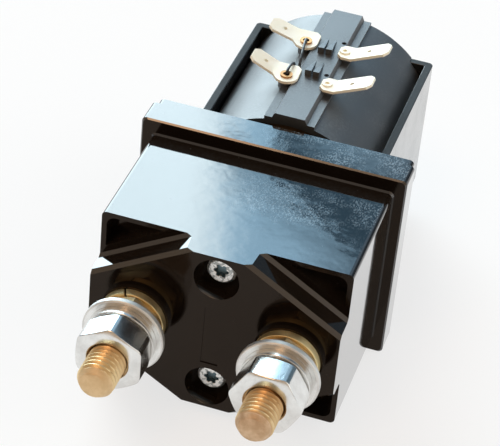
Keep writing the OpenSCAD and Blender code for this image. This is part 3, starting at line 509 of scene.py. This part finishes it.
def nut_mesh(side, y, thick, flats, turn):
    """Hexagon nut. Its outline, one corner and one flat at a time, is an arc of 60 degrees with the
    radius corner, and then a line that bulges by crown as a parabola. Both ends are cut by a cone that
    is half as deep as it is wide, and sunk at the bore."""
    corner, crown = 2.2 * MM, 0.12 * MM
    bore, sink, chamfer = 4.95 * MM, 5.6 * MM, 0.8 * MM
    half = flats / 2
    far = (half - corner) / np.cos(np.pi / 6)
    arc = np.linspace(-np.pi / 6, np.pi / 6, 9)
    along = np.linspace(0.0, 1.0, 9)[1:-1]
    edge = far * np.sin(np.pi / 6)
    reach = edge * (1 - 2 * along)
    bulge = half + crown * (1 - (2 * along - 1) ** 2)
    arc_side, arc_out = corner * np.sin(arc), far + corner * np.cos(arc)
    flat_angle = np.arctan2(-reach, bulge) + np.pi / 6
    one_angle = np.concatenate([np.arctan2(arc_side, arc_out), flat_angle])
    one_radius = np.concatenate([np.hypot(arc_side, arc_out), np.hypot(reach, bulge)])
    angle = (turn + one_angle + np.arange(6)[:, None] * np.pi / 3).ravel()
    outline = np.tile(one_radius, 6)
    face = half - 0.8 * MM
    cone = np.maximum(outline - face, 0.0) / 2
    front = [(y, sink), (y, face), (y + cone, outline)]
    rear = [(y + thick - cone, outline), (y + thick, face), (y + thick, sink)]
    inside = [(y + thick - chamfer, bore), (y + chamfer, bore)]
    return smooth(lathe(front + rear + inside, (side * STUD_X, AXIS_Z), angle, bored=True), SHARP_EDGE)


for name, side, turn in (("stud_nut_left", -1, 0.0), ("stud_nut_right", 1, np.pi / 6)):
    mesh = nut_mesh(side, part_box(name)[0].y, 8.4 * MM, 17 * MM, turn)
    edges(piece("hexagon_" + name, mesh, "frame", "zinc_steel", name), 0.15 * MM)


def spring_mesh(front, length, mean, wire, turns):
    """Compression spring: a circle of wire carried along a helix round the plunger's axis, whose climb
    is one wire's thickness in the first and the last turn and even in between. Both wire ends close on
    a point."""
    sides, steps = 12, 32
    turn = np.linspace(0.0, turns, turns * steps + 1)
    closed = 1.06 * wire
    climb = np.interp(turn, [0, 1, turns - 1, turns], [0, closed, length - wire - closed, length - wire])
    round_wire = np.linspace(0.0, 2 * np.pi, sides, endpoint=False)
    r = mean + wire / 2 * np.cos(round_wire) * np.ones((len(turn), 1))
    y = front + wire / 2 + climb[:, None] + wire / 2 * np.sin(round_wire)
    way = 2 * np.pi * turn[:, None]
    ring = np.stack([r * np.cos(way), y, AXIS_Z + r * np.sin(way)], -1)
    points = np.concatenate([ring.reshape(-1, 3), ring[0].mean(0)[None], ring[-1].mean(0)[None]])
    i, j = np.meshgrid(np.arange(len(turn) - 1), np.arange(sides), indexing="ij")
    k = (j + 1) % sides
    corners = [i * sides + j, (i + 1) * sides + j, (i + 1) * sides + k, i * sides + k]
    faces = np.stack(corners, -1).reshape(-1, 4)
    j = np.arange(sides)
    k = (j + 1) % sides
    last = (len(turn) - 1) * sides
    near = np.stack([np.full(sides, len(points) - 2), j, k], -1)
    far = np.stack([np.full(sides, len(points) - 1), last + k, last + j], -1)
    return surface("spring", points, faces.tolist() + near.tolist() + far.tolist())


def add_spring(name, mean, wire, turns):
    """A spring in place of its CAD node, on that node's body and with a mesh of its own."""
    low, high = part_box(name)
    length = high.y - low.y
    mesh = spring_mesh(low.y, length, mean, wire, turns)
    spring = piece("coiled_" + name, mesh, BODY_OF[name], SLOT_OF[name], name)
    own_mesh(spring)


# The return spring stands on the core, and the contact spring on its seat, which moves on past the bridge
add_spring("return_spring", 3.95 * MM, 0.9 * MM, 8)
add_spring("contact_spring", 4.55 * MM, 1.3 * MM, 5)


def add_floor():
    """The plain pale surface that the part lies on, whose shadow is lifted where it is seen or mirrored."""
    half = 3.0
    corners = [(-half, -half, 0), (half, -half, 0), (half, half, 0), (-half, half, 0)]
    mesh = bpy.data.meshes.new("floor")
    mesh.from_pydata(corners, [], [(0, 1, 2, 3)])
    floor = bpy.data.objects.new("floor", mesh)
    bpy.context.scene.collection.objects.link(floor)
    f = Finish("pale_floor", Base_Color=(0.92, 0.92, 0.92), Roughness=0.9)
    seen = f.value("ShaderNodeLightPath", out="Is Camera Ray")
    seen = seen.most(f.value("ShaderNodeLightPath", out="Is Glossy Ray"))
    pale = f.node("ShaderNodeEmission", Color=(1.0, 1.0, 1.0), Strength=1.0)
    f.blend(seen * 0.72, f.shader.outputs[0], pale)
    mesh.materials.append(f.material)


def add_room():
    """Light from all round: a wide window behind the part to its left, that fades in two steps towards
    the middle, where a dark slanted bar with a blurred upper edge crosses it, a pale wall behind with a
    dark corner at its right, a brighter wall to the right, a warm lamp high in front, and a warm dim
    room."""
    world = bpy.data.worlds.new("room")
    bpy.context.scene.world = world
    world.use_nodes = True
    room = Shading(world.node_tree)
    x, y, z = room.parts(room.node("ShaderNodeTexCoord"))
    # Degrees to the left of straight behind the part, degrees above the horizon, and the same measured
    # across the bar, which falls towards the left
    left = room.math("ARCTAN2", -x, y) * DEGREES
    high = room.math("ARCSINE", z) * DEGREES
    across = high + left * 0.565
    fade = left.step(8.5, 13.0) * 0.4 + left.step(13.8, 16.6) * 0.48
    window = fade * left.step(66.0, 46.0) * high.band(1.0, 7.0, 46.0, 58.0)
    bar = across.band(39.4, 42.2, 43.05, 43.25) * left.step(14.0, 13.4)
    blur = across.band(42.6, 43.0, 43.4, 44.8) * left.step(15.8, 14.9) * 0.42
    bar = bar.most(blur) * left.step(4.0, 8.0)
    wall = y.step(-0.1, 0.35) * high.band(-8.0, 4.0, 46.0, 66.0)
    corner = left.band(-54.0, -44.0, -30.0, -20.0) * high.step(50.0, 40.0)
    side = left.band(-116.0, -98.0, -66.0, -42.0) * high.band(2.0, 12.0, 45.0, 62.0)
    lamp = (x * -0.2 - y * 0.5 + z * 0.84).step(0.972, 0.99)
    panes = room.mix(left.step(14.0, 16.0), (3.7, 6.4, 8.5), (6.1, 7.4, 8.0))
    tint = room.mix(y.step(0.1, -0.4), (0.24, 0.24, 0.24), (0.5, 0.38, 0.27))
    tint = room.mix(wall, tint, (0.36, 0.56, 0.75))
    tint = room.mix(corner, tint, (0.07, 0.12, 0.16))
    tint = room.mix(side, tint, (1.7, 1.7, 1.65))
    tint = room.mix(window, tint, panes)
    tint = room.mix(bar, tint, (0.1, 0.3, 0.48))
    tint = room.mix(lamp, tint, (5.4, 3.3, 1.9))
    seen = room.value("ShaderNodeLightPath", out="Is Camera Ray")
    backdrop = room.mix(seen, tint, (0.99, 0.99, 0.99))
    room.fill(world.node_tree.nodes["Background"].inputs["Color"], backdrop)


def add_camera():
    """The photograph's viewpoint, a long lens high to the right of the studs, a little rolled. Its axes
    and its place were fitted to the part's straight edges."""
    data = bpy.data.cameras.new("camera")
    data.sensor_width = 36.0
    data.lens = 157.61
    data.clip_start = 0.01
    data.clip_end = 50.0
    camera = bpy.data.objects.new("camera", data)
    right = Vector((0.949331, 0.303550, 0.081416))
    up = Vector((-0.244310, 0.549825, 0.798752))
    back = Vector((0.197696, -0.778171, 0.596126))
    place = Matrix((right, up, back)).transposed().to_4x4()
    place.translation = Vector((0.112093, -0.413259 + FACE_Y, 0.354009 + AXIS_Z))
    camera.matrix_world = place
    bpy.context.scene.collection.objects.link(camera)
    bpy.context.scene.camera = camera


add_floor()
add_room()
add_camera()
bpy.context.scene.view_settings.view_transform = "Standard"
